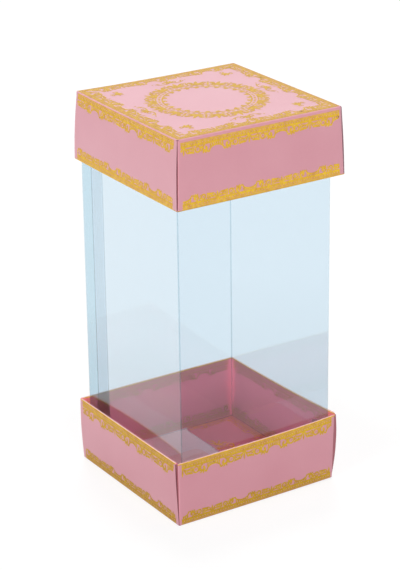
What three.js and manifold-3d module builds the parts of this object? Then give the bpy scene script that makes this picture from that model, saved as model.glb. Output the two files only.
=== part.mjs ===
// Gift box: a pink board tray, a clear sleeve that stands in it, and a pink board lid on top.
// Millimetres, +Z up. The origin is the centre of the tray's underside and the front wall is -Y.
import * as THREE from "three";
import { mergeVertices } from "three/addons/utils/BufferGeometryUtils.js";
import Module from "manifold-3d";

const wasm = await Module();
wasm.setup();

// Board, and how its leaves lie on each other
const boardThickness = 0.4;
const leafGap = 0.05;
const mitreGap = 0.1;
const wallThickness = 3 * boardThickness + 2 * leafGap;

// Tray: its walls spring outward from the floor fold to the rim
const trayWidth = 100;
const trayFlare = 0.72;
const trayHeight = 36.65;

// Lid: the same blank, held open wider by the sleeve
const lidHeight = 36.99;
const lidFlare = 1.33;

// Sleeve, and the play that it has in the tray and the lid on each side
const sheetThickness = 0.3;
const sleeveHeight = 211.15;
const trayClearance = 1.365;
const lidClearance = 1.415;
const seatGap = 0.2;
const sleeveWidth = trayWidth - 2 * (wallThickness + trayClearance);
const lidWidth = sleeveWidth + 2 * (wallThickness + lidClearance);

// Off-centre rest: the share of the play that is taken up along X and Y
const sleeveShift = { x: 0.65, y: -0.36 };
const lidShift = { x: 0.85, y: -0.65 };

// Overlap that closes the sleeve, near its left rear corner
const flapWidth = 12.5;
const seamInset = 6;
const lapGap = 0.1;
const glueThickness = 0.06;
const glueMargin = 0.8;
const glueEndMargin = 4;

// Rolled rim, corner tabs and the leaves on the panel
const rollSteps = 8;
const tabLength = 18;
const tabSlant = 5;
const tabMargin = 2.5;
const tabInset = 0.6;
const leafInset = 0.6;
const tongueReach = 56.9;
const tongueWidth = 43;
const leafSpacing = 7.3;
const leafCornerRadius = 5;

// Cutting blanks reach well past every wall
const cutterReach = trayWidth;

const pinkBoard = { color: 0xecc4cf, roughness: 0.55, metalness: 0 };
const plainBoard = { color: 0xf1ece6, roughness: 0.8, metalness: 0 };
const clearSheet = { color: 0xd6edf4, roughness: 0.08, metalness: 0, transparent: true, opacity: 0.3 };
const clearGlue = { color: 0xdfe9ec, roughness: 0.3, metalness: 0, transparent: true, opacity: 0.5 };

// Closed geometry to a solid that can be cut and joined
function toSolid(geometry) {
  const bare = geometry.clone();
  bare.deleteAttribute("normal");
  bare.deleteAttribute("uv");
  const merged = mergeVertices(bare, 1e-5);
  return new wasm.Manifold(new wasm.Mesh({
    numProp: 3,
    vertProperties: new Float32Array(merged.attributes.position.array),
    triVerts: new Uint32Array(merged.index.array),
  }));
}

function toGeometry(solid) {
  const mesh = solid.getMesh();
  const geometry = new THREE.BufferGeometry();
  geometry.setAttribute("position", new THREE.BufferAttribute(mesh.vertProperties, 3));
  geometry.setIndex(new THREE.BufferAttribute(mesh.triVerts, 1));
  geometry.computeVertexNormals();
  return geometry;
}

function namedMesh(name, geometry, finish) {
  const mesh = new THREE.Mesh(geometry, new THREE.MeshStandardMaterial(finish));
  mesh.name = name;
  return mesh;
}

// Upright block whose square section changes evenly from its foot to its top
function taperedBlock(halfAtFoot, halfAtTop, foot, top) {
  const toCorner = Math.SQRT2;
  const geometry = new THREE.CylinderGeometry(halfAtTop * toCorner, halfAtFoot * toCorner, top - foot, 4);
  geometry.rotateY(Math.PI / 4);
  geometry.rotateX(Math.PI / 2);
  geometry.translate(0, 0, (foot + top) / 2);
  return toSolid(geometry);
}

// Quarter of the plan that belongs to the front wall, cut along the two mitres
function frontQuarter(height) {
  const plan = new THREE.Shape();
  plan.moveTo(0, -mitreGap);
  plan.lineTo(-cutterReach, -cutterReach - mitreGap);
  plan.lineTo(cutterReach, -cutterReach - mitreGap);
  return toSolid(new THREE.ExtrudeGeometry(plan, { depth: height, bevelEnabled: false }));
}

// Sizes that a folded tray shares between its leaves
function traySizes(width, flare, height) {
  const outerAt = (z) => width / 2 + flare * z / height;
  const rollRadius = wallThickness / 2;
  return {
    height,
    outerAt,
    rollRadius,
    rollFoot: height - rollRadius,
    innerFaceAt: (z) => outerAt(z) - wallThickness,
    leafFoot: boardThickness + leafGap,
  };
}

// Panel with its four outer walls, as one folded sheet
function outerBoard(tray) {
  const top = tray.rollFoot - leafGap;
  const outside = taperedBlock(tray.outerAt(0), tray.outerAt(top), 0, top);
  const inside = taperedBlock(
    tray.outerAt(boardThickness) - boardThickness,
    tray.outerAt(tray.height) - boardThickness,
    boardThickness,
    tray.height,
  );
  return toGeometry(outside.subtract(inside));
}

// Inner wall of the front side, with the rounded rim that rolls over the outer wall
function innerWall(tray) {
  const half = tray.outerAt(tray.rollFoot);
  const profile = new THREE.Shape();
  profile.moveTo(tray.innerFaceAt(tray.leafFoot), tray.leafFoot);
  profile.lineTo(tray.innerFaceAt(tray.leafFoot) + boardThickness, tray.leafFoot);
  profile.lineTo(tray.innerFaceAt(tray.rollFoot) + boardThickness, tray.rollFoot);
  profile.lineTo(half, tray.rollFoot);
  profile.absarc(half - tray.rollRadius, tray.rollFoot, tray.rollRadius, 0, Math.PI, false);
  const strip = new THREE.ExtrudeGeometry(profile, {
    depth: 2 * cutterReach,
    bevelEnabled: false,
    curveSegments: rollSteps,
  });
  strip.translate(0, 0, -cutterReach);
  strip.rotateX(Math.PI / 2);
  strip.rotateZ(-Math.PI / 2);
  return toGeometry(toSolid(strip).intersect(frontQuarter(tray.height + 1)));
}

// Corner tab at the left end of the front wall's pocket
function cornerTab(tray) {
  const pocketFace = (z) => tray.outerAt(z) - boardThickness - leafGap;
  const start = -pocketFace(0) + boardThickness + tabInset;
  const foot = tray.leafFoot + tabMargin;
  const top = tray.rollFoot - tabMargin;
  const outline = new THREE.Shape();
  outline.moveTo(start, foot);
  outline.lineTo(start + tabLength, foot + tabSlant);
  outline.lineTo(start + tabLength, top - tabSlant);
  outline.lineTo(start, top);
  const blank = new THREE.ExtrudeGeometry(outline, { depth: cutterReach, bevelEnabled: false });
  blank.rotateX(Math.PI / 2);
  const outside = taperedBlock(pocketFace(0), pocketFace(tray.height), 0, tray.height);
  const inside = taperedBlock(
    pocketFace(0) - boardThickness,
    pocketFace(tray.height) - boardThickness,
    0,
    tray.height,
  );
  return toSolid(blank).intersect(outside).subtract(inside);
}

// Leaf that lies on the panel: it starts at the inner wall on its own side, and its free corners are round
function panelLeaf(tray, side, reach, width) {
  const fold = tray.innerFaceAt(tray.leafFoot) - leafGap;
  const free = fold - reach;
  const halfWidth = width / 2;
  const round = leafCornerRadius;
  const plan = new THREE.Shape();
  plan.moveTo(fold, -halfWidth);
  plan.lineTo(fold, halfWidth);
  plan.lineTo(free + round, halfWidth);
  plan.absarc(free + round, halfWidth - round, round, Math.PI / 2, Math.PI, false);
  plan.absarc(free + round, round - halfWidth, round, Math.PI, 1.5 * Math.PI, false);
  const leaf = new THREE.ExtrudeGeometry(plan, {
    depth: boardThickness,
    bevelEnabled: false,
    curveSegments: rollSteps,
  });
  leaf.translate(0, 0, tray.leafFoot);
  if (side === "left") {
    leaf.rotateZ(Math.PI);
  }
  return leaf;
}

// Double-walled tray, standing on its panel. sides names its walls, from the one at -Y on to +X
function foldedTray(name, tray, sides) {
  const group = new THREE.Group();
  group.add(namedMesh(`${name}_board`, outerBoard(tray), pinkBoard));
  sides.forEach((side, turn) => {
    const wall = namedMesh(`${name}_inner_wall_${side}`, innerWall(tray), pinkBoard);
    wall.rotation.z = turn * Math.PI / 2;
    group.add(wall);
  });
  const [near, right, far, left] = sides;
  // The tabs turn in from the near and far walls, so they lie in the pockets of the right and left ones
  const tab = cornerTab(tray);
  const mirrored = tab.mirror([1, 0, 0]);
  const tabs = [
    { at: `${near}_${right}`, solid: tab, turn: Math.PI / 2 },
    { at: `${far}_${right}`, solid: mirrored, turn: Math.PI / 2 },
    { at: `${far}_${left}`, solid: tab, turn: -Math.PI / 2 },
    { at: `${near}_${left}`, solid: mirrored, turn: -Math.PI / 2 },
  ];
  for (const { at, solid, turn } of tabs) {
    const mesh = namedMesh(`${name}_tab_${at}`, toGeometry(solid), plainBoard);
    mesh.rotation.z = turn;
    group.add(mesh);
  }
  const innerSpan = 2 * tray.innerFaceAt(tray.leafFoot);
  const wideReach = innerSpan - 2 * leafGap - tongueReach - leafSpacing;
  const wideWidth = innerSpan - 2 * leafInset;
  group.add(namedMesh(`${name}_wide_leaf`, panelLeaf(tray, "right", wideReach, wideWidth), pinkBoard));
  group.add(namedMesh(`${name}_tongue`, panelLeaf(tray, "left", tongueReach, tongueWidth), pinkBoard));
  return group;
}

// Clear sheet creased into a square tube, with its inner flap behind the rear panel's free edge
function sleeveSheet() {
  const half = sleeveWidth / 2;
  const inside = half - sheetThickness;
  const flapFace = inside - lapGap;
  const plan = new THREE.Shape();
  plan.moveTo(-half + flapWidth, flapFace);
  plan.lineTo(-half, flapFace);
  plan.lineTo(-half, -half);
  plan.lineTo(half, -half);
  plan.lineTo(half, half);
  plan.lineTo(-half + seamInset, half);
  plan.lineTo(-half + seamInset, inside);
  plan.lineTo(inside, inside);
  plan.lineTo(inside, -inside);
  plan.lineTo(-inside, -inside);
  plan.lineTo(-inside, flapFace - sheetThickness);
  plan.lineTo(-half + flapWidth, flapFace - sheetThickness);
  return new THREE.ExtrudeGeometry(plan, { depth: sleeveHeight, bevelEnabled: false });
}

// Strip of adhesive between the flap and the rear panel
function sleeveGlue() {
  const half = sleeveWidth / 2;
  const width = flapWidth - seamInset - 2 * glueMargin;
  const length = sleeveHeight - 2 * glueEndMargin;
  const glue = new THREE.BoxGeometry(width, glueThickness, length);
  glue.translate(
    -half + (flapWidth + seamInset) / 2,
    half - sheetThickness - lapGap / 2,
    sleeveHeight / 2,
  );
  return glue;
}

// Assembly
const tray = traySizes(trayWidth, trayFlare, trayHeight);
const lid = traySizes(lidWidth, lidFlare, lidHeight);
const sleeveFoot = tray.leafFoot + boardThickness + seatGap;
const lidTop = sleeveFoot + sleeveHeight + seatGap + lid.leafFoot + boardThickness;

const group = new THREE.Group();
group.add(foldedTray("tray", tray, ["front", "right", "rear", "left"]));

const sleeve = new THREE.Group();
sleeve.add(namedMesh("sleeve_sheet", sleeveSheet(), clearSheet));
sleeve.add(namedMesh("sleeve_glue", sleeveGlue(), clearGlue));
sleeve.position.set(sleeveShift.x * trayClearance, sleeveShift.y * trayClearance, sleeveFoot);
group.add(sleeve);

// Turned over about X, the lid's -Y wall comes to the rear
const turnedLid = foldedTray("lid", lid, ["rear", "right", "front", "left"]);
turnedLid.rotation.x = Math.PI;
turnedLid.position.set(
  sleeve.position.x + lidShift.x * lidClearance,
  sleeve.position.y + lidShift.y * lidClearance,
  lidTop,
);
group.add(turnedLid);

export default group;
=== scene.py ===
import math
import random
from dataclasses import dataclass

import bmesh
import bpy
from mathutils import Matrix, Vector


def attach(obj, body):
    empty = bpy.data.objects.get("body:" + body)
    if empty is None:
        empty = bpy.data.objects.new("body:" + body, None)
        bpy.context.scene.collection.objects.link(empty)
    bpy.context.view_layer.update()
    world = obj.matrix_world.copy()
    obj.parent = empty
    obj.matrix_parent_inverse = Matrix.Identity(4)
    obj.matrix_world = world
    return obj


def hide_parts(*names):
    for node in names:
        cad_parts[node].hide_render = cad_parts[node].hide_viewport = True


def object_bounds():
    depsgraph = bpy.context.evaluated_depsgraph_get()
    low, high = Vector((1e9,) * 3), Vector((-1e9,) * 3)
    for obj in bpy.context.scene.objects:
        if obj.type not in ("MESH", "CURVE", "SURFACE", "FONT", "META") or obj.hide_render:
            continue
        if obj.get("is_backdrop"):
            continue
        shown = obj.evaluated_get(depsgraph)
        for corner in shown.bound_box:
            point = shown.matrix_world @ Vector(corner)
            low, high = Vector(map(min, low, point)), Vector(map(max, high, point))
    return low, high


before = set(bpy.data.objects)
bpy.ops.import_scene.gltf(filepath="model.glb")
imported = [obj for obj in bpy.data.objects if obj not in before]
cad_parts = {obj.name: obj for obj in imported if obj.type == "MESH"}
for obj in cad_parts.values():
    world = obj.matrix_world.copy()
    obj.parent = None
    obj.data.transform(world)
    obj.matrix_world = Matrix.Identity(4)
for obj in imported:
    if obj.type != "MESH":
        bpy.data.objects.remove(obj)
cad_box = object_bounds()

MM = 0.001

# Board and folds
BOARD = 0.4
LEAF_GAP = 0.05
WALL = 3 * BOARD + 2 * LEAF_GAP
ROLL = WALL / 2
FOLD = 0.5
CORNER_BEND = 0.4
LEAF_FOOT = BOARD + LEAF_GAP
WRAP_INSET = 1.4
WRAP_CLEARANCE = 0.2
WRAP_PULL = 0.45
SPREAD_ALLOWANCE = 0.3
SWELL_PHASE = 0.8
LINING_END_GAP = 0.1
LINING_OVERLAP = 0.4
RIM_TRIM_ALLOWANCE = 0.3

# Leaves on the panels
TONGUE_REACH = 56.9
TONGUE_WIDTH = 43
LEAF_SPACING = 7.3
LEAF_INSET = 0.6
LEAF_CORNER = 5
LEAF_FLAT_SHARE = 0.4
WIDE_RISE = 0.8
TONGUE_RISE = 1.6

# Sleeve
SHEET = 0.3
SLEEVE_HALF = 47.335
SLEEVE_FOOT = 1.05
SLEEVE_HEIGHT = 211.15
SLEEVE_CENTRE = (0.887, -0.491)
FLAP_WIDTH = 12.5
SEAM_INSET = 6
LAP_GAP = 0.1
GLUE_MARGIN = 0.8
GLUE_END_MARGIN = 4
GLUE_WOBBLE = 0.15
CREASE_RADIUS = 0.45
CUT_LINE = 0.35
STRIP_WIDTH = 5
SLEEVE_ROWS = 25
BULGE = 0.16
RIPPLE = 0.05
RIPPLE_RISE = 23
RIPPLE_WIDTH = 17
FOOT_DENT = 3
FOOT_DENT_REACH = 90
CORNER_SPREAD = 0.6
SPREAD_FADE_BELOW = 30
SPREAD_FADE_ABOVE = 40

# Foil print
WALL_LACE_INSET = 0.15
LINING_LACE_INSET = 0.2
FOIL_HEIGHT = 0.03
FOIL_STEP = 0.004
FOIL_LEVELS = 6
BORDER_LINES = ((0.1, 0.26), (0.82, 0.34), (2.34, 0.62))
DASH_LINE = 1.5
DASH_SPACING = 1.6
BAND_DEPTH = 2.8
ARCH_HALF = 4.6
LACE_END_PLAIN = 1.7
LACE_END_BUTTED = 2.8
LACE_END_INSIDE = 1.2
PANEL_MARGIN = 0.9
PANEL_LACE_INSET = 4
LEAF_MARGIN = 0.3
LEAF_LACE_INSET = 1
MEDALLION_RADIUS = 23.4
MEDALLION_LEAVES = 52
MEDALLION_FANS = 16
CORNER_SPRAY = 49
LACE_WEIGHT = 1.18
LINING_WEIGHT = 0.6
LEAF_WEIGHT = 0.5
MEDALLION_WEIGHT = 1.2

# Camera
CAMERA_AZIMUTH = -32.588
CAMERA_ELEVATION = 21.688
CAMERA_ROLL = -0.783
CAMERA_PLACE = (-581.42, -904.98, 537.11)
CAMERA_LENS = 135.87

# Stage
FLOOR_X = (-5000, 5000)
FLOOR_Y = (-4000, 6000)
FLOOR_LEVEL = -0.05
FLOOR_GREY = (0.35, 0.35, 0.35, 1)
FLOOR_GREY_SEEN = (0.25, 0.25, 0.25, 1)
FLOOR_GLOW = 0.795
# Floor in reflections: darker near the object, a painted shade, and paler far away.
MIRRORED_NEAR = 0.4
MIRRORED_FAR = 0.8
NEAR = 0.07
FAR = 0.25
ROOM_LIGHT = 0.224
SOFTBOX_ANGLE = 30


@dataclass
class FoldedTray:
    """Double-walled tray in its own frame, standing on its panel. Side 0 is at -Y and side 1 at +X."""

    name: str
    width: float
    flare: float
    height: float
    origin: tuple
    turned: bool
    swells: tuple
    seams: dict
    corner_lifts: tuple

    def outer(self, z):
        return self.width / 2 + self.flare * z / self.height

    def inner_face(self, z):
        return self.outer(z) - WALL

    def roll_foot(self):
        return self.height - ROLL

    def swell(self, side, s, z):
        """How far a wall stands out from flat, between its start, middle and end."""
        t = 2 * s / self.width
        start, middle, end = self.swells[side]
        plan = middle + (end - start) / 2 * t + ((start + end) / 2 - middle) * t * t
        share = min(max(z / self.height, 0), 1)
        return plan * math.sin(math.pi * SWELL_PHASE * share)

    def lift(self, x, y, z):
        """How far the corners that don't lie flat raise this point."""
        total = 0
        for across, along, at_fold, at_rim in self.corner_lifts:
            near_x = max(0, 0.5 + across * x / self.width)
            near_y = max(0, 0.5 + along * y / self.width)
            share = z / self.height
            total += (near_x * near_y) ** 3 * (at_fold + (at_rim - at_fold) * share)
        return total

    def place(self, x, y, z):
        """From the tray's frame to the frame of the whole object."""
        z += self.lift(x, y, z)
        if self.turned:
            y, z = -y, -z
        return (x + self.origin[0], y + self.origin[1], z + self.origin[2])

    def at_wall(self, side, s, out, z):
        """The point s along a side and this far out from the tray's axis."""
        x, y = s, -out
        for _ in range(side):
            x, y = -y, x
        return self.place(x, y, z)


TRAY = FoldedTray(
    name="tray",
    width=100,
    flare=0.72,
    height=36.65,
    origin=(0, 0, 0),
    turned=False,
    swells=((0, 0.5, 0), (3.7, 1.5, 0.6), (0, 0.6, 0), (0.9, 0.7, 0.35)),
    seams={1: ((1.2, 4.5), (0.3, 1.2)), 3: ((0.3, 1.2), (0.15, 2.2))},
    corner_lifts=((1, -1, 0.5, 1.7),),
)
LID = FoldedTray(
    name="lid",
    width=100.1,
    flare=1.33,
    height=36.99,
    origin=(2.08975, -1.41085, 213.25),
    turned=True,
    swells=((0, 0.9, 0), (0.5, 0.7, 0.5), (0, 0.4, 0), (0.45, 0.5, 0.95)),
    seams={1: ((0.3, 0.6), (0.3, 0.6)), 3: ((0.3, 0.5), (1.3, 1.3))},
    corner_lifts=((-1, -1, -1.1, -0.7),),
)


def srgb(red, green, blue):
    """Linear colour of a written 0 to 255 one."""
    made = []
    for value in (red, green, blue):
        share = value / 255
        made.append(share / 12.92 if share <= 0.04045 else ((share + 0.055) / 1.055) ** 2.4)
    return (*made, 1)


# Material nodes
def new_material(name):
    material = bpy.data.materials.new(name)
    material.use_nodes = True
    material.node_tree.nodes.clear()
    return material


def node(material, kind, inputs=None, **settings):
    made = material.node_tree.nodes.new(kind)
    for name, value in settings.items():
        setattr(made, name, value)
    for name, value in (inputs or {}).items():
        if isinstance(value, bpy.types.NodeSocket):
            material.node_tree.links.new(value, made.inputs[name])
        else:
            made.inputs[name].default_value = value
    return made


def noise(material, scale, detail=3, roughness=0.55):
    """Noise over the object's own coordinates; scale is in features to the metre."""
    where = node(material, "ShaderNodeTexCoord").outputs["Object"]
    settings = {"Vector": where, "Scale": scale, "Detail": detail, "Roughness": roughness}
    return node(material, "ShaderNodeTexNoise", settings).outputs["Fac"]


def spread(material, value, low, high, start=0.3, stop=0.7):
    """Maps a value's middle range to low and high."""
    settings = {"Value": value, "From Min": start, "From Max": stop, "To Min": low, "To Max": high}
    return node(material, "ShaderNodeMapRange", settings).outputs["Result"]


def blend_colours(material, factor, first, second):
    settings = {0: factor, 6: first, 7: second}
    return node(material, "ShaderNodeMix", settings, data_type="RGBA").outputs[2]


def finish_material(material, shader):
    node(material, "ShaderNodeOutputMaterial", {"Surface": shader})
    return material


def board_material(name, pale, deep, fibre, roughness, bump, coat=0):
    """Paperboard: cloudy ink, faint fibres and a slightly uneven skin."""
    material = new_material(name)
    clouds = spread(material, noise(material, 28, 2), 0, 1)
    ink = blend_colours(material, clouds, pale, deep)
    fibres = spread(material, noise(material, 1400, 4, 0.7), 0, 0.22, 0.45, 0.8)
    colour = blend_colours(material, fibres, ink, fibre)
    skin = noise(material, 900, 5, 0.65)
    height = node(
        material,
        "ShaderNodeBump",
        {"Strength": bump, "Distance": 0.00006, "Height": skin},
    )
    shader = node(
        material,
        "ShaderNodeBsdfPrincipled",
        {
            "Base Color": colour,
            "Roughness": spread(material, skin, roughness - 0.05, roughness + 0.07),
            "Normal": height.outputs["Normal"],
            "IOR": 1.5,
            "Coat Weight": coat,
            "Coat Roughness": 0.28,
            "Coat IOR": 1.8,
        },
    )
    return finish_material(material, shader.outputs["BSDF"])


def foil_material(name, bright, deep, metallic):
    """Hot-stamped gold, a little uneven in tone and gloss."""
    material = new_material(name)
    patches = spread(material, noise(material, 520, 4, 0.7), 0, 1)
    colour = blend_colours(material, patches, bright, deep)
    grain = noise(material, 1600, 3)
    height = node(
        material,
        "ShaderNodeBump",
        {"Strength": 0.25, "Distance": 0.00004, "Height": grain},
    )
    shader = node(
        material,
        "ShaderNodeBsdfPrincipled",
        {
            "Base Color": colour,
            "Metallic": metallic,
            "Roughness": spread(material, patches, 0.36, 0.5, 0, 1),
            "Normal": height.outputs["Normal"],
        },
    )
    return finish_material(material, shader.outputs["BSDF"])


def clear_material(name, tint, base_gloss, scuff_low, scuff_high):
    """Thin clear film: a tint, and a reflection that grows towards grazing view, for the eye only."""
    material = new_material(name)
    facing = node(material, "ShaderNodeLayerWeight", {"Blend": 0.5}).outputs["Facing"]
    grazing = node(material, "ShaderNodeMath", {0: facing, 1: 3.6}, operation="POWER")
    gloss = node(
        material,
        "ShaderNodeMath",
        {0: grazing.outputs[0], 1: 1 - base_gloss, 2: base_gloss},
        operation="MULTIPLY_ADD",
    )
    through = node(material, "ShaderNodeBsdfTransparent", {"Color": tint})
    scuffs = spread(material, noise(material, 60, 4), scuff_low, scuff_high)
    mirror = node(
        material,
        "ShaderNodeBsdfAnisotropic",
        {"Color": (1, 1, 1, 1), "Roughness": scuffs},
    )
    mixed = node(
        material,
        "ShaderNodeMixShader",
        {0: gloss.outputs[0], 1: through.outputs[0], 2: mirror.outputs[0]},
    )
    rays = node(material, "ShaderNodeLightPath")
    clear = node(material, "ShaderNodeBsdfTransparent", {"Color": (1, 1, 1, 1)})
    film = node(
        material,
        "ShaderNodeMixShader",
        {0: rays.outputs["Is Camera Ray"], 1: clear.outputs[0], 2: mixed.outputs[0]},
    )
    return finish_material(material, film.outputs[0])


PRINTED = board_material(
    "printed_board", srgb(232, 157, 171), srgb(227, 149, 164), srgb(238, 173, 185), 0.45, 0.2, 1
)
# Inside print: the same pink as the outside made brighter and redder, painted light for the tray's inside.
LIT_LINING = board_material(
    "printed_lining", srgb(253, 136, 158), srgb(249, 128, 151), srgb(255, 151, 171), 0.5, 0.2, 0.3
)
# Rim: pale peach on the top of the rolled rim, a painted highlight.
RIM_HIGHLIGHT = board_material(
    "creased_board", srgb(240, 198, 190), srgb(234, 184, 178), srgb(248, 222, 210), 0.5, 0.4
)
PLAIN = board_material(
    "plain_board", srgb(245, 230, 241), srgb(238, 220, 231), srgb(250, 241, 248), 0.7, 0.5
)
PALE = board_material(
    "pale_print", srgb(242, 208, 216), srgb(236, 199, 208), srgb(247, 222, 227), 0.6, 0.3
)
# Wide leaf: the inside pink made darker, a painted shade for the tray's floor.
SHADED_LEAF = board_material(
    "leaf_print", srgb(212, 128, 148), srgb(206, 120, 141), srgb(220, 144, 161), 0.5, 0.2, 0.3
)
# Tabs: the printed pink made darker, a painted shade for the strips that turn the corners into the side
# pockets.
TAB_SHADE = board_material(
    "tab_board", srgb(190, 116, 125), srgb(178, 104, 114), srgb(202, 134, 142), 0.6, 0.3
)
# Cut edges: dark pink-brown, a painted shade for the board's edges in the seams and slits.
CUT_SHADE = board_material(
    "cut_board", srgb(178, 126, 133), srgb(160, 108, 116), srgb(196, 148, 152), 0.8, 0.6
)
FOIL = foil_material("gold_foil", srgb(242, 202, 58), srgb(214, 160, 76), 1)
# Inside gold: paler, redder and less metallic than the outside foil, painted light so it reads bright in
# the tray's shade.
INNER_FOIL_LIT = foil_material("inner_foil", srgb(236, 172, 128), srgb(216, 146, 112), 0.6)
FILM = clear_material("clear_film", (0.895, 0.94, 0.968, 1), 0.035, 0.03, 0.1)
# Darker tints of the same film, painted shade: on the folds and cut lines, on the flap between the panel's
# free edge and the corner, and darkest on the sheet's cut edges and the strip by the panel's free edge.
CREASE_SHADE = clear_material("creased_film", (0.72, 0.82, 0.87, 1), 0.08, 0.2, 0.3)
FLAP_SHADE = clear_material("bent_film", (0.73, 0.86, 0.91, 1), 0.05, 0.1, 0.2)
EDGE_SHADE = clear_material("film_edge", (0.5, 0.64, 0.72, 1), 0.1, 0.2, 0.3)
ADHESIVE = clear_material("clear_adhesive", (0.93, 0.965, 0.975, 1), 0.02, 0.3, 0.45)


# Meshes
def link_mesh(name, points, faces, materials, body, slots=None, sharp=35):
    """Adds a piece from points in millimetres."""
    mesh = bpy.data.meshes.new(name)
    mesh.from_pydata([tuple(value * MM for value in point) for point in points], [], faces)
    for material in materials:
        mesh.materials.append(material)
    if slots:
        mesh.polygons.foreach_set("material_index", slots)
    piece = bpy.data.objects.new(name, mesh)
    bpy.context.scene.collection.objects.link(piece)
    shade(mesh, sharp)
    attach(piece, body)
    return piece


def shade(mesh, sharp):
    mesh.shade_smooth()
    mesh.set_sharp_from_angle(angle=math.radians(sharp))
    mesh.validate()


def weld(mesh, distance=2e-7, outward=True):
    """Joins points that lie together and turns the faces of closed shells outward."""
    work = bmesh.new()
    work.from_mesh(mesh)
    bmesh.ops.remove_doubles(work, verts=work.verts, dist=distance)
    if outward:
        bmesh.ops.recalc_face_normals(work, faces=work.faces)
    work.to_mesh(mesh)
    work.free()


def strip_solid(front, back, face_slots=(0, 0, 0)):
    """Closed solid between two grids of points. face_slots are for the front, the back and the edges."""
    rows, columns = len(front), len(front[0])
    points = [point for row in front for point in row] + [point for row in back for point in row]
    offset = rows * columns
    faces, slots = [], []
    for j in range(rows - 1):
        for i in range(columns - 1):
            a = j * columns + i
            b, c, d = a + 1, a + columns + 1, a + columns
            faces.append((a, b, c, d))
            faces.append((offset + d, offset + c, offset + b, offset + a))
            slots += [face_slots[0], face_slots[1]]
    outline = list(range(columns))
    outline += [j * columns + columns - 1 for j in range(1, rows)]
    outline += [(rows - 1) * columns + i for i in range(columns - 2, -1, -1)]
    outline += [j * columns for j in range(rows - 2, 0, -1)]
    for a, b in zip(outline, outline[1:] + outline[:1]):
        faces.append((b, a, offset + a, offset + b))
        slots.append(face_slots[2])
    return points, faces, slots


def spaced(start, stop, count):
    return [start + (stop - start) * i / (count - 1) for i in range(count)]


# Folded boards. COLUMNS are places across a wall, closer together near its ends.
COLUMNS = [math.sin(t * math.pi / 2) * 0.35 + t * 0.65 for t in spaced(-1, 1, 27)]
FOLD_STEPS = 4
TURN_POINTS = FOLD_STEPS + 2
ROLL_STEPS = 8
WALL_ROWS = 17


def fold_rows(tray, side):
    """Rows of the bend from the panel up to the wall."""
    rows = []
    for step in range(FOLD_STEPS):
        angle = math.pi / 2 * step / FOLD_STEPS
        out = tray.outer(0) - FOLD + FOLD * math.sin(angle)
        z = FOLD - FOLD * math.cos(angle)
        half = tray.outer(0) - FOLD - (CORNER_BEND if step else 0)
        rows.append([tray.at_wall(side, t * half, out, z) for t in COLUMNS])
    return rows


def corner_turn(tray, spread_out, z):
    """Plan of a wall's end, from inside the side pocket to its crease, and where the crease starts."""
    out = tray.outer(z)
    corner = out - LEAF_FOOT
    knee = out - CORNER_BEND - WRAP_PULL * spread_out - WRAP_CLEARANCE
    wrap_end = min(tray.width / 2 - WRAP_INSET, knee - WRAP_CLEARANCE)
    lean = math.atan2(spread_out, out - CORNER_BEND - knee)
    turn = [(corner + spread_out, wrap_end), (corner + spread_out, knee)]
    for step in range(FOLD_STEPS):
        angle = lean + (math.pi / 2 - lean) * step / FOLD_STEPS
        s = corner - CORNER_BEND + CORNER_BEND * math.cos(angle)
        turn.append((s, out - CORNER_BEND + CORNER_BEND * math.sin(angle)))
    return turn, corner - CORNER_BEND


def wrapped_row(tray, side, z):
    """Row of a wall whose ends turn the corners and run on into the side pockets."""
    half = tray.width / 2
    before, after = (side + 3) % 4, (side + 1) % 4
    left_spread = max(0, tray.swell(before, half, z) - SPREAD_ALLOWANCE)
    right_spread = max(0, tray.swell(after, -half, z) - SPREAD_ALLOWANCE)
    left_turn, left_end = corner_turn(tray, left_spread, z)
    right_turn, right_end = corner_turn(tray, right_spread, z)
    plan = [(-s, reach) for s, reach in left_turn]
    for t in COLUMNS:
        s = (right_end - left_end) / 2 + t * (right_end + left_end) / 2
        plan.append((s, tray.outer(z) + tray.swell(side, s, z)))
    plan += reversed(right_turn)
    return [tray.at_wall(side, s, reach, z) for s, reach in plan]


def butted_row(tray, side, z):
    """Row of a wall that ends just short of both corners."""
    share = z / tray.height
    (start_foot, start_rim), (end_foot, end_rim) = tray.seams[side]
    start = start_foot + (start_rim - start_foot) * share - tray.outer(z)
    end = tray.outer(z) - end_foot - (end_rim - end_foot) * share
    row = []
    for t in COLUMNS:
        s = (start + end) / 2 + t * (end - start) / 2
        row.append(tray.at_wall(side, s, tray.outer(z) + tray.swell(side, s, z), z))
    return row


def grid_faces(rows, points, faces, flip=False):
    base = len(points)
    columns = len(rows[0])
    for row in rows:
        points.extend(row)
    for j in range(len(rows) - 1):
        for i in range(columns - 1):
            a = base + j * columns + i
            quad = (a, a + 1, a + columns + 1, a + columns)
            faces.append(quad[::-1] if flip else quad)


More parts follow.
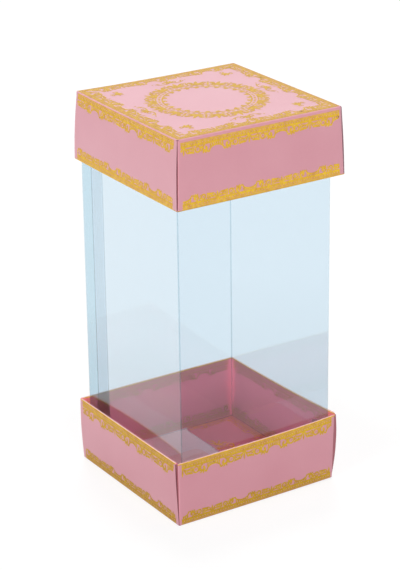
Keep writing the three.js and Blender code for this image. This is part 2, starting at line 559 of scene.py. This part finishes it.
def outer_board(tray):
    """Panel and outer walls as one creased sheet, printed on its outside."""
    points, faces, tab_shade_starts = [], [], []
    half = tray.outer(0) - FOLD
    panel = []
    for v in COLUMNS:
        panel.append([tray.place(u * half, v * half, 0) for u in COLUMNS])
    grid_faces(panel, points, faces, flip=True)
    heights = spaced(FOLD, tray.roll_foot() - LEAF_GAP, WALL_ROWS)
    for side in range(4):
        bend = fold_rows(tray, side)
        if side % 2:
            wall = [butted_row(tray, side, z) for z in heights]
            grid_faces(bend + [wall[0]], points, faces)
            grid_faces(wall, points, faces)
        else:
            wall = [wrapped_row(tray, side, z) for z in heights]
            foot = wall[0][TURN_POINTS:-TURN_POINTS]
            grid_faces(bend + [foot], points, faces)
            tab_shade_starts.append(len(faces))
            grid_faces(wall, points, faces)
    materials = [PRINTED, PLAIN, CUT_SHADE, TAB_SHADE]
    slots = [materials.index(PRINTED)] * len(faces)
    # The corner-turn faces of the wrapped walls get the darker tab colour, a painted shade.
    strips = len(COLUMNS) + 2 * TURN_POINTS - 1
    for first in tab_shade_starts:
        for row in range(len(heights) - 1):
            for column in (0, 1, strips - 2, strips - 1):
                slots[first + row * strips + column] = materials.index(TAB_SHADE)
    piece = link_mesh(f"{tray.name}_outer_board", points, faces, materials, tray.name, slots)
    weld(piece.data, outward=False)
    thicken(piece)
    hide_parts(f"{tray.name}_board")
    return piece


def thicken(piece):
    """Gives a sheet the board's thickness, inward, with its plain side and cut edges; the cut edges get a
    dark painted shade.
    """
    solid = piece.modifiers.new("board", "SOLIDIFY")
    solid.thickness = BOARD * MM
    solid.offset = -1
    solid.use_even_offset = True
    solid.material_offset = 1
    solid.material_offset_rim = 2
    graph = bpy.context.evaluated_depsgraph_get()
    mesh = bpy.data.meshes.new_from_object(piece.evaluated_get(graph))
    piece.modifiers.clear()
    piece.data = mesh
    shade(mesh, 40)


def lining_wall(tray, side, label):
    """Inner wall with the rim that rolls over the outer wall."""
    foot = tray.roll_foot()
    outer_edge = tray.outer(foot)
    seams = tray.seams.get(side, ((0, 0), (0, 0)))
    trims = [max(0, at_rim - RIM_TRIM_ALLOWANCE) for _, at_rim in seams]
    face_path, back_path = [], []
    for step in range(ROLL_STEPS + 1):
        angle = math.pi * step / ROLL_STEPS
        centre = outer_edge - ROLL
        face_path.append((centre + ROLL * math.cos(angle), foot + ROLL * math.sin(angle)))
        inside = ROLL - BOARD
        back_path.append((centre + inside * math.cos(angle), foot + inside * math.sin(angle)))
    for z in spaced(foot, LEAF_FOOT, 12)[1:]:
        face_path.append((tray.inner_face(z), z))
        back_path.append((tray.inner_face(z) + BOARD, z))

    def swept(path):
        rows = []
        for out, z in path:
            half = out - LINING_END_GAP
            if side % 2 == 0 and z < foot - BOARD:
                half += LINING_OVERLAP
            rolled = max(0, 1 - (outer_edge - out) / WALL)
            start, end = -half + trims[0] * rolled, half - trims[1] * rolled
            row = []
            for t in COLUMNS:
                s = (start + end) / 2 + t * (end - start) / 2
                give = tray.swell(side, s, foot) * min(z / foot, 1) ** 3
                row.append(tray.at_wall(side, s, out + give, z))
            rows.append(row)
        return rows

    points, faces, slots = strip_solid(swept(face_path), swept(back_path), (0, 1, 0))
    materials = [LIT_LINING, PLAIN, RIM_HIGHLIGHT, FOIL]
    columns = len(COLUMNS) - 1
    # The top of each roll gets the pale painted highlight and its two sides the gold foil.
    for step in range(ROLL_STEPS):
        creased = 2 <= step < ROLL_STEPS - 2
        for column in range(columns):
            slots[2 * (step * columns + column)] = materials.index(RIM_HIGHLIGHT if creased else FOIL)
    piece = link_mesh(f"{tray.name}_lining_{label}", points, faces, materials, tray.name, slots)
    weld(piece.data)
    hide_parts(f"{tray.name}_inner_wall_{label}")
    return piece


def leaf_top(reach, free_rise):
    """Height of a leaf's upper face at a share of the way from its fold to its free edge."""
    return LEAF_FOOT + BOARD + free_rise * max(0, reach - LEAF_FLAT_SHARE) ** 2


def panel_leaf(tray, node_name, side, reach, width, free_rise, print_material):
    """Leaf that lies on the panel, with round free corners and a free edge that stands up a little."""
    fold = tray.inner_face(LEAF_FOOT) - LEAF_GAP
    turn = 1 if side == "right" else -1
    stops = spaced(0, reach - LEAF_CORNER, 12)
    for step in range(1, 7):
        stops.append(reach - LEAF_CORNER + LEAF_CORNER * math.sin(math.pi / 2 * step / 6))
    top, bottom = [], []
    for along in stops:
        past = max(0, along - reach + LEAF_CORNER)
        half = width / 2 - LEAF_CORNER + math.sqrt(max(0, LEAF_CORNER**2 - past**2))
        z = leaf_top(along / reach, free_rise)
        x = turn * (fold - along)
        ys = [turn * t * half for t in COLUMNS]
        top.append([tray.place(x, y, z) for y in ys])
        bottom.append([tray.place(x, y, z - BOARD) for y in ys])
    points, faces, slots = strip_solid(top, bottom, (0, 1, 1))
    piece = link_mesh(f"{node_name}_leaf", points, faces, [print_material, PLAIN], tray.name, slots)
    weld(piece.data)
    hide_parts(node_name)
    return piece


def build_tray(tray, labels):
    outer_board(tray)
    for side, label in enumerate(labels):
        lining_wall(tray, side, label)
    inner_span = 2 * tray.inner_face(LEAF_FOOT)
    wide_reach = inner_span - 2 * LEAF_GAP - TONGUE_REACH - LEAF_SPACING
    wide_width = inner_span - 2 * LEAF_INSET
    panel_leaf(tray, f"{tray.name}_wide_leaf", "right", wide_reach, wide_width, WIDE_RISE, SHADED_LEAF)
    panel_leaf(tray, f"{tray.name}_tongue", "left", TONGUE_REACH, TONGUE_WIDTH, TONGUE_RISE, PALE)
    dress_leaf(tray, wide_reach, WIDE_RISE, {0: (-20, 19), 1: (-20, 19), 2: (-20, 19)}, 3.4)
    # The hidden tabs get the same painted-shade colour.
    for name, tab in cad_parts.items():
        if name.startswith(f"{tray.name}_tab"):
            tab.data.materials.clear()
            tab.data.materials.append(TAB_SHADE)


# Foil ornament: strokes are (points, half widths), drawn with x along and y away from an edge
def stroke(points, widths):
    return (points, widths)


def moved(strokes, at, size=1, turn=0, flip=1):
    """The same strokes elsewhere: mirrored, turned, scaled and then shifted."""
    cosine, sine = math.cos(turn) * size, math.sin(turn) * size
    made = []
    for points, widths in strokes:
        shifted = []
        for x, y in points:
            x = x * flip
            shifted.append((at[0] + cosine * x - sine * y, at[1] + sine * x + cosine * y))
        made.append((shifted, [width * size for width in widths]))
    return made


def dot(radius, stretch=1):
    shares = (-0.96, -0.5, 0.5, 0.96)
    points = [(share * radius * stretch, 0) for share in shares]
    return [stroke(points, [radius * math.sqrt(1 - share * share) for share in shares])]


def leaf(length, half_width, bend=0.12):
    points, widths = [], []
    for step in range(6):
        t = step / 5
        points.append((bend * length * math.sin(math.pi * t), length * t))
        widths.append(half_width * math.sin(math.pi * (0.08 + 0.88 * t)) ** 0.8)
    return [stroke(points, widths)]


def ring(radius, half_width, count=13):
    turns = spaced(0, 2 * math.pi, count)
    return [stroke([(radius * math.cos(a), radius * math.sin(a)) for a in turns], [half_width] * count)]


def scroll(radius, half_width, turns=0.86):
    """Spiral that starts at the top of its circle, rolls in and ends in a bead."""
    points, widths = [], []
    for step in range(13):
        t = step / 12
        angle = math.pi * (1.5 - 2 * turns * t)
        reach = radius * (0.34 + 0.66 * (1 - t) ** 0.8)
        points.append((reach * math.cos(angle), reach * math.sin(angle)))
        widths.append(half_width * (0.75 + 0.45 * math.sin(math.pi * t)))
    return [stroke(points, widths)] + moved(dot(1.35 * half_width), points[-1])


def curve(points, half_width, count=7):
    """Smooth stroke through three points, thickest at its middle."""
    (x0, y0), (x1, y1), (x2, y2) = points
    made, widths = [], []
    for t in spaced(0, 1, count):
        start, middle, end = 2 * (t - 0.5) * (t - 1), 4 * t * (1 - t), 2 * t * (t - 0.5)
        made.append((start * x0 + middle * x1 + end * x2, start * y0 + middle * y1 + end * y2))
        widths.append(half_width * (0.5 + 0.5 * math.sin(math.pi * t)))
    return [stroke(made, widths)]


def palmette(count=5, lean=1.15):
    made = []
    for angle in spaced(-lean, lean, count):
        length = 0.5 + 0.42 * math.cos(angle * 1.35)
        made += moved(leaf(length, 0.15, 0.05), (0, 0), turn=-angle)
    return made + dot(0.16)


def straight(start, end, y, half_width, count=26):
    return [stroke([(x, y) for x in spaced(start, end, count)], [half_width] * count)]


def border(start, end, taper=0):
    """Lines and a row of dashes along the edge. taper shortens each line by its depth, for a mitre."""
    made = []
    for y, half_width in BORDER_LINES:
        made += straight(start + taper * y, end - taper * y, y, half_width)
    first = start + taper * DASH_LINE + 0.75
    last = end - taper * DASH_LINE - 0.75
    for x in spaced(first, last, round((last - first) / DASH_SPACING)):
        made += moved(dot(0.34, 2.1), (x, DASH_LINE))
    return made


def arch_height(x, depth):
    """How far down the lace comes at this distance from the middle of an arch."""
    share = min(1, abs(x) / ARCH_HALF)
    return depth * (0.42 + 0.78 * (1 - math.sqrt(1 - share * share)))


def repeat(depth, half):
    """Lace between the middles of two arches, which lie at -half and half, hanging from y = 0."""
    side = moved(leaf(0.86 * depth, 0.46, 0.05), (0.5, 0.05), turn=-0.42)
    side += curve(((1.3, 0.2 * depth), (3.4, 0.34 * depth), (5.6, 0.1 * depth)), 0.46)
    side += curve(((2, 0.8 * depth), (4, 0.72 * depth), (6.4, 0.9 * depth)), 0.56)
    side += moved(dot(0.42), (4.9, 0.46 * depth)) + moved(dot(0.34), (3.1, 0.56 * depth))
    side += moved(leaf(0.66 * depth, 0.42, -0.1), (6.2, 0.1 * depth), turn=0.1)
    side += moved(ring(0.36 * depth, 0.4), (8.3, 0.5 * depth)) + moved(dot(0.34), (8.3, 0.5 * depth))
    side += moved(leaf(0.5 * depth, 0.42, 0), (10.3, 0.02 * depth))
    side += moved(dot(0.4), (10.2, 0.78 * depth))
    lobe = half - ARCH_HALF - 2.1
    side += moved(scroll(0.46 * depth, 0.5), (lobe, 0.52 * depth))
    for lean in (-0.6, 0.1, 0.7):
        side += moved(leaf(0.38 * depth, 0.42, 0), (lobe + 1.3 * lean, 0.84 * depth), turn=-lean)
    edge = [(half - away, arch_height(away, depth) - 0.36) for away in spaced(ARCH_HALF, 0, 7)]
    side += [stroke(edge, [0.36] * 7)]
    for away in (3.6, 2.4, 1.2, 0):
        side += moved(leaf(arch_height(away, depth) - 0.4, 0.42, 0), (half - away, 0.02))
    made = moved(leaf(1.02 * depth, 0.46, 0), (0, 0.05)) + moved(dot(0.55), (0, 0.3))
    return made + side + moved(side, (0, 0), flip=-1)


def heavier(strokes, factor):
    return [stroke(points, [width * factor for width in widths]) for points, widths in strokes]


def clipped(strokes, start, end):
    """The parts of strokes that lie between two places along the edge."""
    made = []
    for points, widths in strokes:
        run = []
        for point, width in zip(points, widths):
            if start <= point[0] <= end:
                run.append((point, width))
            elif run:
                made.append(run)
                run = []
        made.append(run)
    return [stroke(*(list(part) for part in zip(*run))) for run in made if len(run) > 1]


def hanging_lace(start, end, arches, depth):
    """Lace below the border, with an arch at each of these places."""
    arches = sorted(arches)
    arches = [2 * arches[0] - arches[1]] + arches + [2 * arches[-1] - arches[-2]]
    made = []
    for first, second in zip(arches, arches[1:]):
        made += moved(repeat(depth, (second - first) / 2), ((first + second) / 2, BAND_DEPTH))
    return clipped(heavier(made, LACE_WEIGHT), start, end)


def edge_lace(start, end, arches, depth):
    return border(start, end) + hanging_lace(start, end, arches, depth)


def lining_lace(start, end, arches, depth):
    return heavier(edge_lace(start, end, arches, depth), LINING_WEIGHT)


def bent(strokes, radius):
    """Strokes drawn along a line, bent round a circle of this radius."""
    made = []
    for points, widths in strokes:
        turned = []
        for x, y in points:
            reach, angle = radius + y, x / radius
            turned.append((reach * math.sin(angle), reach * math.cos(angle)))
        made.append(stroke(turned, widths))
    return made


def medallion():
    """Ring of leaves, scrolls and palmettes round a bare middle, with a spray on each side."""
    turn = 2 * math.pi * MEDALLION_RADIUS
    line = straight(0, turn, 0, 0.34, 97) + straight(0, turn, 3.3, 0.26, 97)
    for k in range(MEDALLION_LEAVES):
        x = turn * k / MEDALLION_LEAVES
        line += moved(dot(0.62, 1.4), (x, 1.65))
        line += moved(leaf(3.2, 0.72, 0.15), (x, 0.1), turn=math.pi + (0.7 if k % 2 else -0.7))
    for k in range(MEDALLION_FANS):
        x = turn * k / MEDALLION_FANS
        for lean, length in ((-1.1, 4), (-0.55, 5.6), (0, 6.8), (0.55, 5.6), (1.1, 4)):
            line += moved(leaf(length, 0.85, 0.06), (x, 3.4), turn=-lean)
        for hand in (-1, 1):
            line += moved(scroll(1.25, 0.36), (x + hand * 3.1, 7.6), flip=hand)
        between = x + turn / MEDALLION_FANS / 2
        line += moved(leaf(4.6, 0.6, 0), (between, 3.6)) + moved(dot(0.5), (between, 9))
    spray = moved(palmette(), (0, 36.4), 4.6)
    for hand in (-1, 1):
        spray += moved(scroll(1.6, 0.34), (hand * 3.2, 37), flip=hand)
        spray += curve(((hand * 0.6, 36.2), (hand * 4.4, 35), (hand * 9, 37)), 0.4)
        spray += moved(leaf(2.8, 0.5, 0), (hand * 6.4, 36), turn=-hand * 0.5)
        spray += moved(dot(0.5), (hand * 10.2, 37.6))
    made = bent(heavier(line, MEDALLION_WEIGHT), MEDALLION_RADIUS)
    for quarter in range(4):
        made += moved(spray, (0, 0), turn=quarter * math.pi / 2)
    return made


def corner_spray():
    """Fan of leaves and two scrolls."""
    made = moved(palmette(), (0, 0), 5)
    for hand in (-1, 1):
        made += moved(scroll(1.4, 0.34), (hand * 2.8, -0.8), flip=hand)
    return made


def foil_piece(name, body, strokes, place, foil=FOIL):
    """Lays strokes on a surface as thin ribbons with a keel. place(x, y, height) gives a point on it."""
    points, faces = [], []
    for index, (line, widths) in enumerate(strokes):
        height = FOIL_HEIGHT + FOIL_STEP * (index % FOIL_LEVELS)
        base = len(points)
        last = len(line) - 1
        for i, (x, y) in enumerate(line):
            before, after = line[max(i - 1, 0)], line[min(i + 1, last)]
            along_x, along_y = after[0] - before[0], after[1] - before[1]
            length = math.hypot(along_x, along_y) or 1
            side_x, side_y = -along_y / length * widths[i], along_x / length * widths[i]
            points.append(place(x + side_x, y + side_y, height))
            points.append(place(x - side_x, y - side_y, height))
            points.append(place(x, y, -FOIL_HEIGHT))
        for i in range(last):
            a = base + 3 * i
            for k in range(3):
                n = (k + 1) % 3
                faces.append((a + k, a + n, a + 3 + n, a + 3 + k))
        end = base + 3 * last
        faces += [(base + 2, base + 1, base), (end, end + 1, end + 2)]
    piece = link_mesh(name, points, faces, [foil], body, sharp=60)
    weld(piece.data, 1e-9)
    return piece


def on_outer_wall(tray, side, from_rim):
    def place(x, y, height):
        z = tray.roll_foot() - WALL_LACE_INSET - y if from_rim else FOLD + WALL_LACE_INSET + y
        return tray.at_wall(side, x, tray.outer(z) + tray.swell(side, x, z) + height, z)

    return place


def on_inner_wall(tray, side, from_rim):
    foot = tray.roll_foot()
    top_edge = foot - LINING_LACE_INSET
    low_edge = LEAF_FOOT + BOARD + LINING_LACE_INSET

    def place(x, y, height):
        z = top_edge - y if from_rim else low_edge + y
        give = tray.swell(side, x, foot) * min(z / foot, 1) ** 3
        return tray.at_wall(side, x, tray.inner_face(z) + give - height, z)

    return place


def on_panel(tray):
    def place(x, y, height):
        return tray.place(x, y, -height)

    return place


def on_leaf(tray, reach, rise):
    fold = tray.inner_face(LEAF_FOOT) - LEAF_GAP

    def place(x, y, height):
        return tray.place(x, y, leaf_top((fold - x) / reach, rise) + height)

    return place


def framed_edges(half, arches, depth):
    """Lace along the inside of a square's edges, mitred at its corners. arches has a pair for each side."""
    made = []
    for side, pair in arches.items():
        lace_end = half - PANEL_LACE_INSET
        edge = border(-half, half, 1) + hanging_lace(-lace_end, lace_end, pair, depth)
        made += moved(moved(edge, (0, -half)), (0, 0), turn=side * math.pi / 2)
    return made


def dress_panel(tray, arches, depth):
    """Lace border, medallion and corner sprays on the panel's outside."""
    half = tray.width / 2 - PANEL_MARGIN
    foil_piece(f"{tray.name}_panel_lace", tray.name, framed_edges(half, arches, depth), on_panel(tray))
    strokes = medallion()
    for quarter in range(4):
        angle = (quarter + 0.5) * math.pi / 2
        at = (CORNER_SPRAY * math.sin(angle), CORNER_SPRAY * math.cos(angle))
        strokes += moved(corner_spray(), at, turn=math.pi - angle)
    foil_piece(f"{tray.name}_medallion", tray.name, strokes, on_panel(tray))


def dress_leaf(tray, reach, rise, arches, depth):
    """The wide leaf's share of the same print."""
    half = tray.inner_face(LEAF_FOOT) - LEAF_INSET - LEAF_MARGIN
    free = tray.inner_face(LEAF_FOOT) - LEAF_GAP - reach
    whole = heavier(framed_edges(half, arches, depth) + medallion(), LEAF_WEIGHT)
    strokes = clipped(whole, free + LEAF_LACE_INSET, half)
    foil_piece(f"{tray.name}_leaf_lace", tray.name, strokes, on_leaf(tray, reach, rise))


def dress_walls(tray, rim_arches, fold_arches, depths, fold_starts=(0, 0, 0, 0)):
    """Lace along both edges of every wall, outside and inside."""
    rim_depth, fold_depth, inner_depth = depths
    for side in range(4):
        end = tray.width / 2 - (LACE_END_BUTTED if side % 2 else LACE_END_PLAIN)
        strokes = edge_lace(-end, end, rim_arches[side], rim_depth)
        foil_piece(f"{tray.name}_rim_lace_{side}", tray.name, strokes, on_outer_wall(tray, side, True))
        strokes = edge_lace(-end, end, fold_arches[side], fold_depth)
        strokes = moved(strokes, (0, fold_starts[side]))
        foil_piece(f"{tray.name}_fold_lace_{side}", tray.name, strokes, on_outer_wall(tray, side, False))
        end = tray.inner_face(0) - LACE_END_INSIDE
        for label, arches, from_rim in (("lining", rim_arches, True), ("well", fold_arches, False)):
            strokes = lining_lace(-end, end, arches[side], inner_depth)
            place = on_inner_wall(tray, side, from_rim)
            # The inside lace takes the paler gold, a painted light.
            foil_piece(f"{tray.name}_{label}_lace_{side}", tray.name, strokes, place, INNER_FOIL_LIT)


# Sleeve
def sleeve_path():
    """Middle of the sheet in plan, from the flap's free edge round to the outer panel's.

    Each point comes with the material of the strip that follows it.
    """
    half = SLEEVE_HALF - SHEET / 2
    flap_line = half - SHEET - LAP_GAP
    corners = [
        (-SLEEVE_HALF + FLAP_WIDTH, flap_line),
        (-half, flap_line),
        (-half, -half),
        (half, -half),
        (half, half),
        (-SLEEVE_HALF + SEAM_INSET, half),
    ]
    path = []
    for index in range(5):
        start, end = Vector(corners[index]), Vector(corners[index + 1])
        along = (end - start).normalized()
        first = start + along * (CREASE_RADIUS if index else 0)
        last = end - along * (CREASE_RADIUS if index < 4 else 0)
        length = (last - first).length
        stops = [0, *spaced(CUT_LINE, length - CUT_LINE, round(length / STRIP_WIDTH) + 1), length]
        # Folds and cut lines get the darker painted-shade tint, and so do the flap beyond the panel's free
        # edge and the strip by that edge.
        strips = [FILM] * (len(stops) - 1) + [CREASE_SHADE]
        if index == 0:
            stops = [0, CUT_LINE, *spaced(FLAP_WIDTH - SEAM_INSET, length - CUT_LINE, 3), length]
            strips = [CREASE_SHADE, FILM, FLAP_SHADE, FLAP_SHADE, FLAP_SHADE, CREASE_SHADE]
        if index == 4:
            strips[-2] = EDGE_SHADE
        path += [(first + along * stop, strip) for stop, strip in zip(stops, strips)]
        if index < 4:
            onward = (Vector(corners[index + 2]) - end).normalized()
            centre = last + onward * CREASE_RADIUS
            for step in range(1, FOLD_STEPS):
                angle = math.pi / 2 * step / FOLD_STEPS
                arm = along * math.sin(angle) - onward * math.cos(angle)
                path.append((centre + arm * CREASE_RADIUS, CREASE_SHADE))
    return path


def sheet_shift(at, normal, z):
    """How far the sheet stands off its flat place: slack walls, a loose corner and a pressed foot."""
    across, along = at.x / SLEEVE_HALF, at.y / SLEEVE_HALF
    slack = max(0, 1 - across**2) + max(0, 1 - along**2)
    bulge = BULGE * math.sin(math.pi * z / SLEEVE_HEIGHT)
    ripple = RIPPLE * math.sin(z / RIPPLE_RISE + at.x / RIPPLE_WIDTH)
    left = (1 - across) / 2
    fade = min(1, z / SPREAD_FADE_BELOW, (SLEEVE_HEIGHT - z) / SPREAD_FADE_ABOVE)
    open_corner = CORNER_SPREAD * fade * left * (1 + along) / 2
    pressed = FOOT_DENT * max(0, 1 - z / FOOT_DENT_REACH) ** 2 * left * max(0, 1 - along**2)
    return normal * (slack * (bulge + ripple)) + Vector((pressed - open_corner, open_corner))


def on_sleeve(x, y, z):
    """From the sleeve's own frame to the frame of the whole object."""
    return (x + SLEEVE_CENTRE[0], y + SLEEVE_CENTRE[1], z + SLEEVE_FOOT)


def sleeve_piece():
    path = sleeve_path()
    normals = []
    for index in range(len(path)):
        before = path[max(index - 1, 0)][0]
        after = path[min(index + 1, len(path) - 1)][0]
        along = (after - before).normalized()
        normals.append(Vector((along.y, -along.x)))
    outer_rows, inner_rows = [], []
    for z in spaced(0, SLEEVE_HEIGHT, SLEEVE_ROWS):
        outer_row, inner_row = [], []
        for (at, _), normal in zip(path, normals):
            middle = at + sheet_shift(at, normal, z)
            for row, shift in ((outer_row, SHEET / 2), (inner_row, -SHEET / 2)):
                row.append(on_sleeve(*(middle + normal * shift), z))
        outer_rows.append(outer_row)
        inner_rows.append(inner_row)
    # The sheet's cut edges get the darkest painted-shade tint.
    materials = [FILM, CREASE_SHADE, EDGE_SHADE, FLAP_SHADE]
    points, faces, slots = strip_solid(outer_rows, inner_rows, (0, 0, materials.index(EDGE_SHADE)))
    strips = len(path) - 1
    for face in range(2 * (len(outer_rows) - 1) * strips):
        slots[face] = materials.index(path[(face // 2) % strips][1])
    piece = link_mesh("sleeve_film", points, faces, materials, "sleeve", slots, 50)
    weld(piece.data)
    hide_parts("sleeve_sheet")
    return piece


def glue_film():
    """Adhesive in the lap, a film with an uneven edge."""
    half = (FLAP_WIDTH - SEAM_INSET) / 2 - GLUE_MARGIN
    centre = -SLEEVE_HALF + (FLAP_WIDTH + SEAM_INSET) / 2
    y = SLEEVE_HALF - SHEET - LAP_GAP / 2
    rng = random.Random(5)
    points, faces, rows = [], [], []
    for level in spaced(0, SLEEVE_HEIGHT, SLEEVE_ROWS):
        z = min(max(level, GLUE_END_MARGIN), SLEEVE_HEIGHT - GLUE_END_MARGIN)
        left = centre - half + rng.uniform(-GLUE_WOBBLE, GLUE_WOBBLE)
        right = centre + half + rng.uniform(-GLUE_WOBBLE, GLUE_WOBBLE)
        row = []
        for x in spaced(left, right, 5):
            at = Vector((x, y))
            row.append(on_sleeve(*(at + sheet_shift(at, Vector((0, 1)), z)), z))
        rows.append(row)
    grid_faces(rows, points, faces)
    piece = link_mesh("sleeve_adhesive", points, faces, [ADHESIVE], "sleeve")
    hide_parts("sleeve_glue")
    return piece


# Stage
def floor_material():
    """White to the camera, and it keeps the object's shadow; in reflections it is paler far from the object
    and darker near it, a painted shade.
    """
    material = new_material("stage_floor")
    rays = node(material, "ShaderNodeLightPath")
    where = node(material, "ShaderNodeTexCoord").outputs["Object"]
    distance = node(material, "ShaderNodeVectorMath", {0: where}, operation="LENGTH")
    reflected_shade = spread(material, distance.outputs["Value"], MIRRORED_NEAR, MIRRORED_FAR, NEAR, FAR)
    mirrored = node(
        material,
        "ShaderNodeMath",
        {0: reflected_shade, 1: rays.outputs["Is Glossy Ray"]},
        operation="MULTIPLY",
    )
    seen = node(
        material,
        "ShaderNodeMath",
        {0: rays.outputs["Is Camera Ray"], 1: rays.outputs["Is Transmission Ray"]},
        operation="MAXIMUM",
    )
    glow = node(
        material,
        "ShaderNodeMath",
        {0: seen.outputs[0], 1: FLOOR_GLOW, 2: mirrored.outputs[0]},
        operation="MULTIPLY_ADD",
    )
    either = node(
        material,
        "ShaderNodeMath",
        {0: seen.outputs[0], 1: rays.outputs["Is Glossy Ray"]},
        operation="MAXIMUM",
    )
    paint = blend_colours(material, either.outputs[0], FLOOR_GREY, FLOOR_GREY_SEEN)
    bare = node(material, "ShaderNodeBsdfDiffuse", {"Color": paint})
    light = node(
        material,
        "ShaderNodeEmission",
        {"Color": (1, 1, 1, 1), "Strength": glow.outputs[0]},
    )
    both = node(material, "ShaderNodeAddShader", {0: bare.outputs[0], 1: light.outputs[0]})
    return finish_material(material, both.outputs[0])


def add_floor():
    points, faces, rows = [], [], []
    for y in spaced(*FLOOR_Y, 11):
        rows.append([(x, y, FLOOR_LEVEL) for x in spaced(*FLOOR_X, 11)])
    grid_faces(rows, points, faces)
    mesh = bpy.data.meshes.new("floor")
    mesh.from_pydata([tuple(value * MM for value in point) for point in points], [], faces)
    mesh.materials.append(floor_material())
    floor = bpy.data.objects.new("floor", mesh)
    bpy.context.scene.collection.objects.link(floor)
    floor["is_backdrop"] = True


def add_world():
    """Even studio light, and a white surround for the camera and for reflections."""
    world = bpy.data.worlds.new("studio")
    world.use_nodes = True
    world.node_tree.nodes.clear()
    rays = node(world, "ShaderNodeLightPath")
    seen = node(
        world,
        "ShaderNodeMath",
        {0: rays.outputs["Is Camera Ray"], 1: rays.outputs["Is Glossy Ray"]},
        operation="MAXIMUM",
    )
    level = spread(world, seen.outputs[0], ROOM_LIGHT, 1, 0, 1)
    background = node(world, "ShaderNodeBackground", {"Color": (1, 1, 1, 1), "Strength": level})
    node(world, "ShaderNodeOutputWorld", {"Surface": background.outputs[0]})
    bpy.context.scene.world = world


def towards(azimuth, elevation):
    """Direction from the object, in degrees. Azimuth 0 is at -Y and 90 at +X."""
    azimuth, elevation = math.radians(azimuth), math.radians(elevation)
    level = math.cos(elevation)
    return Vector((math.sin(azimuth) * level, -math.cos(azimuth) * level, math.sin(elevation)))


def add_softbox(name, azimuth, elevation, strength):
    """Distant soft light."""
    data = bpy.data.lights.new(name, "SUN")
    data.angle = math.radians(SOFTBOX_ANGLE)
    data.energy = strength
    lamp = bpy.data.objects.new(name, data)
    lamp.visible_glossy = False
    lamp.rotation_euler = towards(azimuth, elevation).to_track_quat("Z", "Y").to_euler()
    bpy.context.scene.collection.objects.link(lamp)


def add_camera():
    back = towards(CAMERA_AZIMUTH, CAMERA_ELEVATION)
    roll = math.radians(CAMERA_ROLL)
    right = (-back).cross(Vector((0, 0, 1))).normalized()
    up = right.cross(-back)
    turned_right = right * math.cos(roll) + up * math.sin(roll)
    turned_up = up * math.cos(roll) - right * math.sin(roll)
    data = bpy.data.cameras.new("camera")
    data.lens = CAMERA_LENS
    data.sensor_width = 36
    data.clip_end = 50
    camera = bpy.data.objects.new("camera", data)
    place = Vector(CAMERA_PLACE) * MM
    columns = Matrix((turned_right, turned_up, back)).transposed()
    camera.matrix_world = Matrix.Translation(place) @ columns.to_4x4()
    bpy.context.scene.collection.objects.link(camera)
    bpy.context.scene.camera = camera


add_camera()
build_tray(TRAY, ("front", "right", "rear", "left"))
build_tray(LID, ("rear", "right", "front", "left"))
dress_walls(
    TRAY,
    rim_arches=((-28.4, 10.2, 49), (-28.4, 10.2), (-30, 8), (-31.5, 6.5, 45)),
    fold_arches=((-48.4, -10.1, 28.1), (-10.1, 28.1), (-12, 28), (-50, -11.9, 25.9)),
    depths=(4.6, 3.4, 3.6),
)
dress_walls(
    LID,
    rim_arches=((8, -31), (8, -31), (47.3, 8.1, -31.1), (50, 11, -28.6)),
    fold_arches=((27, -11.5), (27, -11.5), (27.2, -11.7, -47.7), (29.2, -9.2, -47.7)),
    depths=(3.4, 4, 3.6),
    fold_starts=(0, 0, 1.2, 0),
)
dress_panel(LID, {0: (-7.2, 27.8), 1: (-17, 18), 2: (-27.8, 7.2), 3: (-22.9, 11.5)}, 5)
dress_panel(TRAY, {0: (-17, 18), 1: (-17, 18), 2: (-17, 18), 3: (-17, 18)}, 5)
sleeve_piece()
glue_film()
add_floor()
add_world()
add_softbox("left", -82, 22, 1.6)
add_softbox("front", -8, 22, 1.36)
add_softbox("rear", 150, 35, 1.4)
add_softbox("right", 95, 25, 0.5)
add_softbox("overhead", 0, 89, 0.17)
bpy.context.scene.view_settings.view_transform = "Standard"

boxes = {"cad": cad_box, "visual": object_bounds()}
{name: [list(corner) for corner in box] for name, box in boxes.items()}
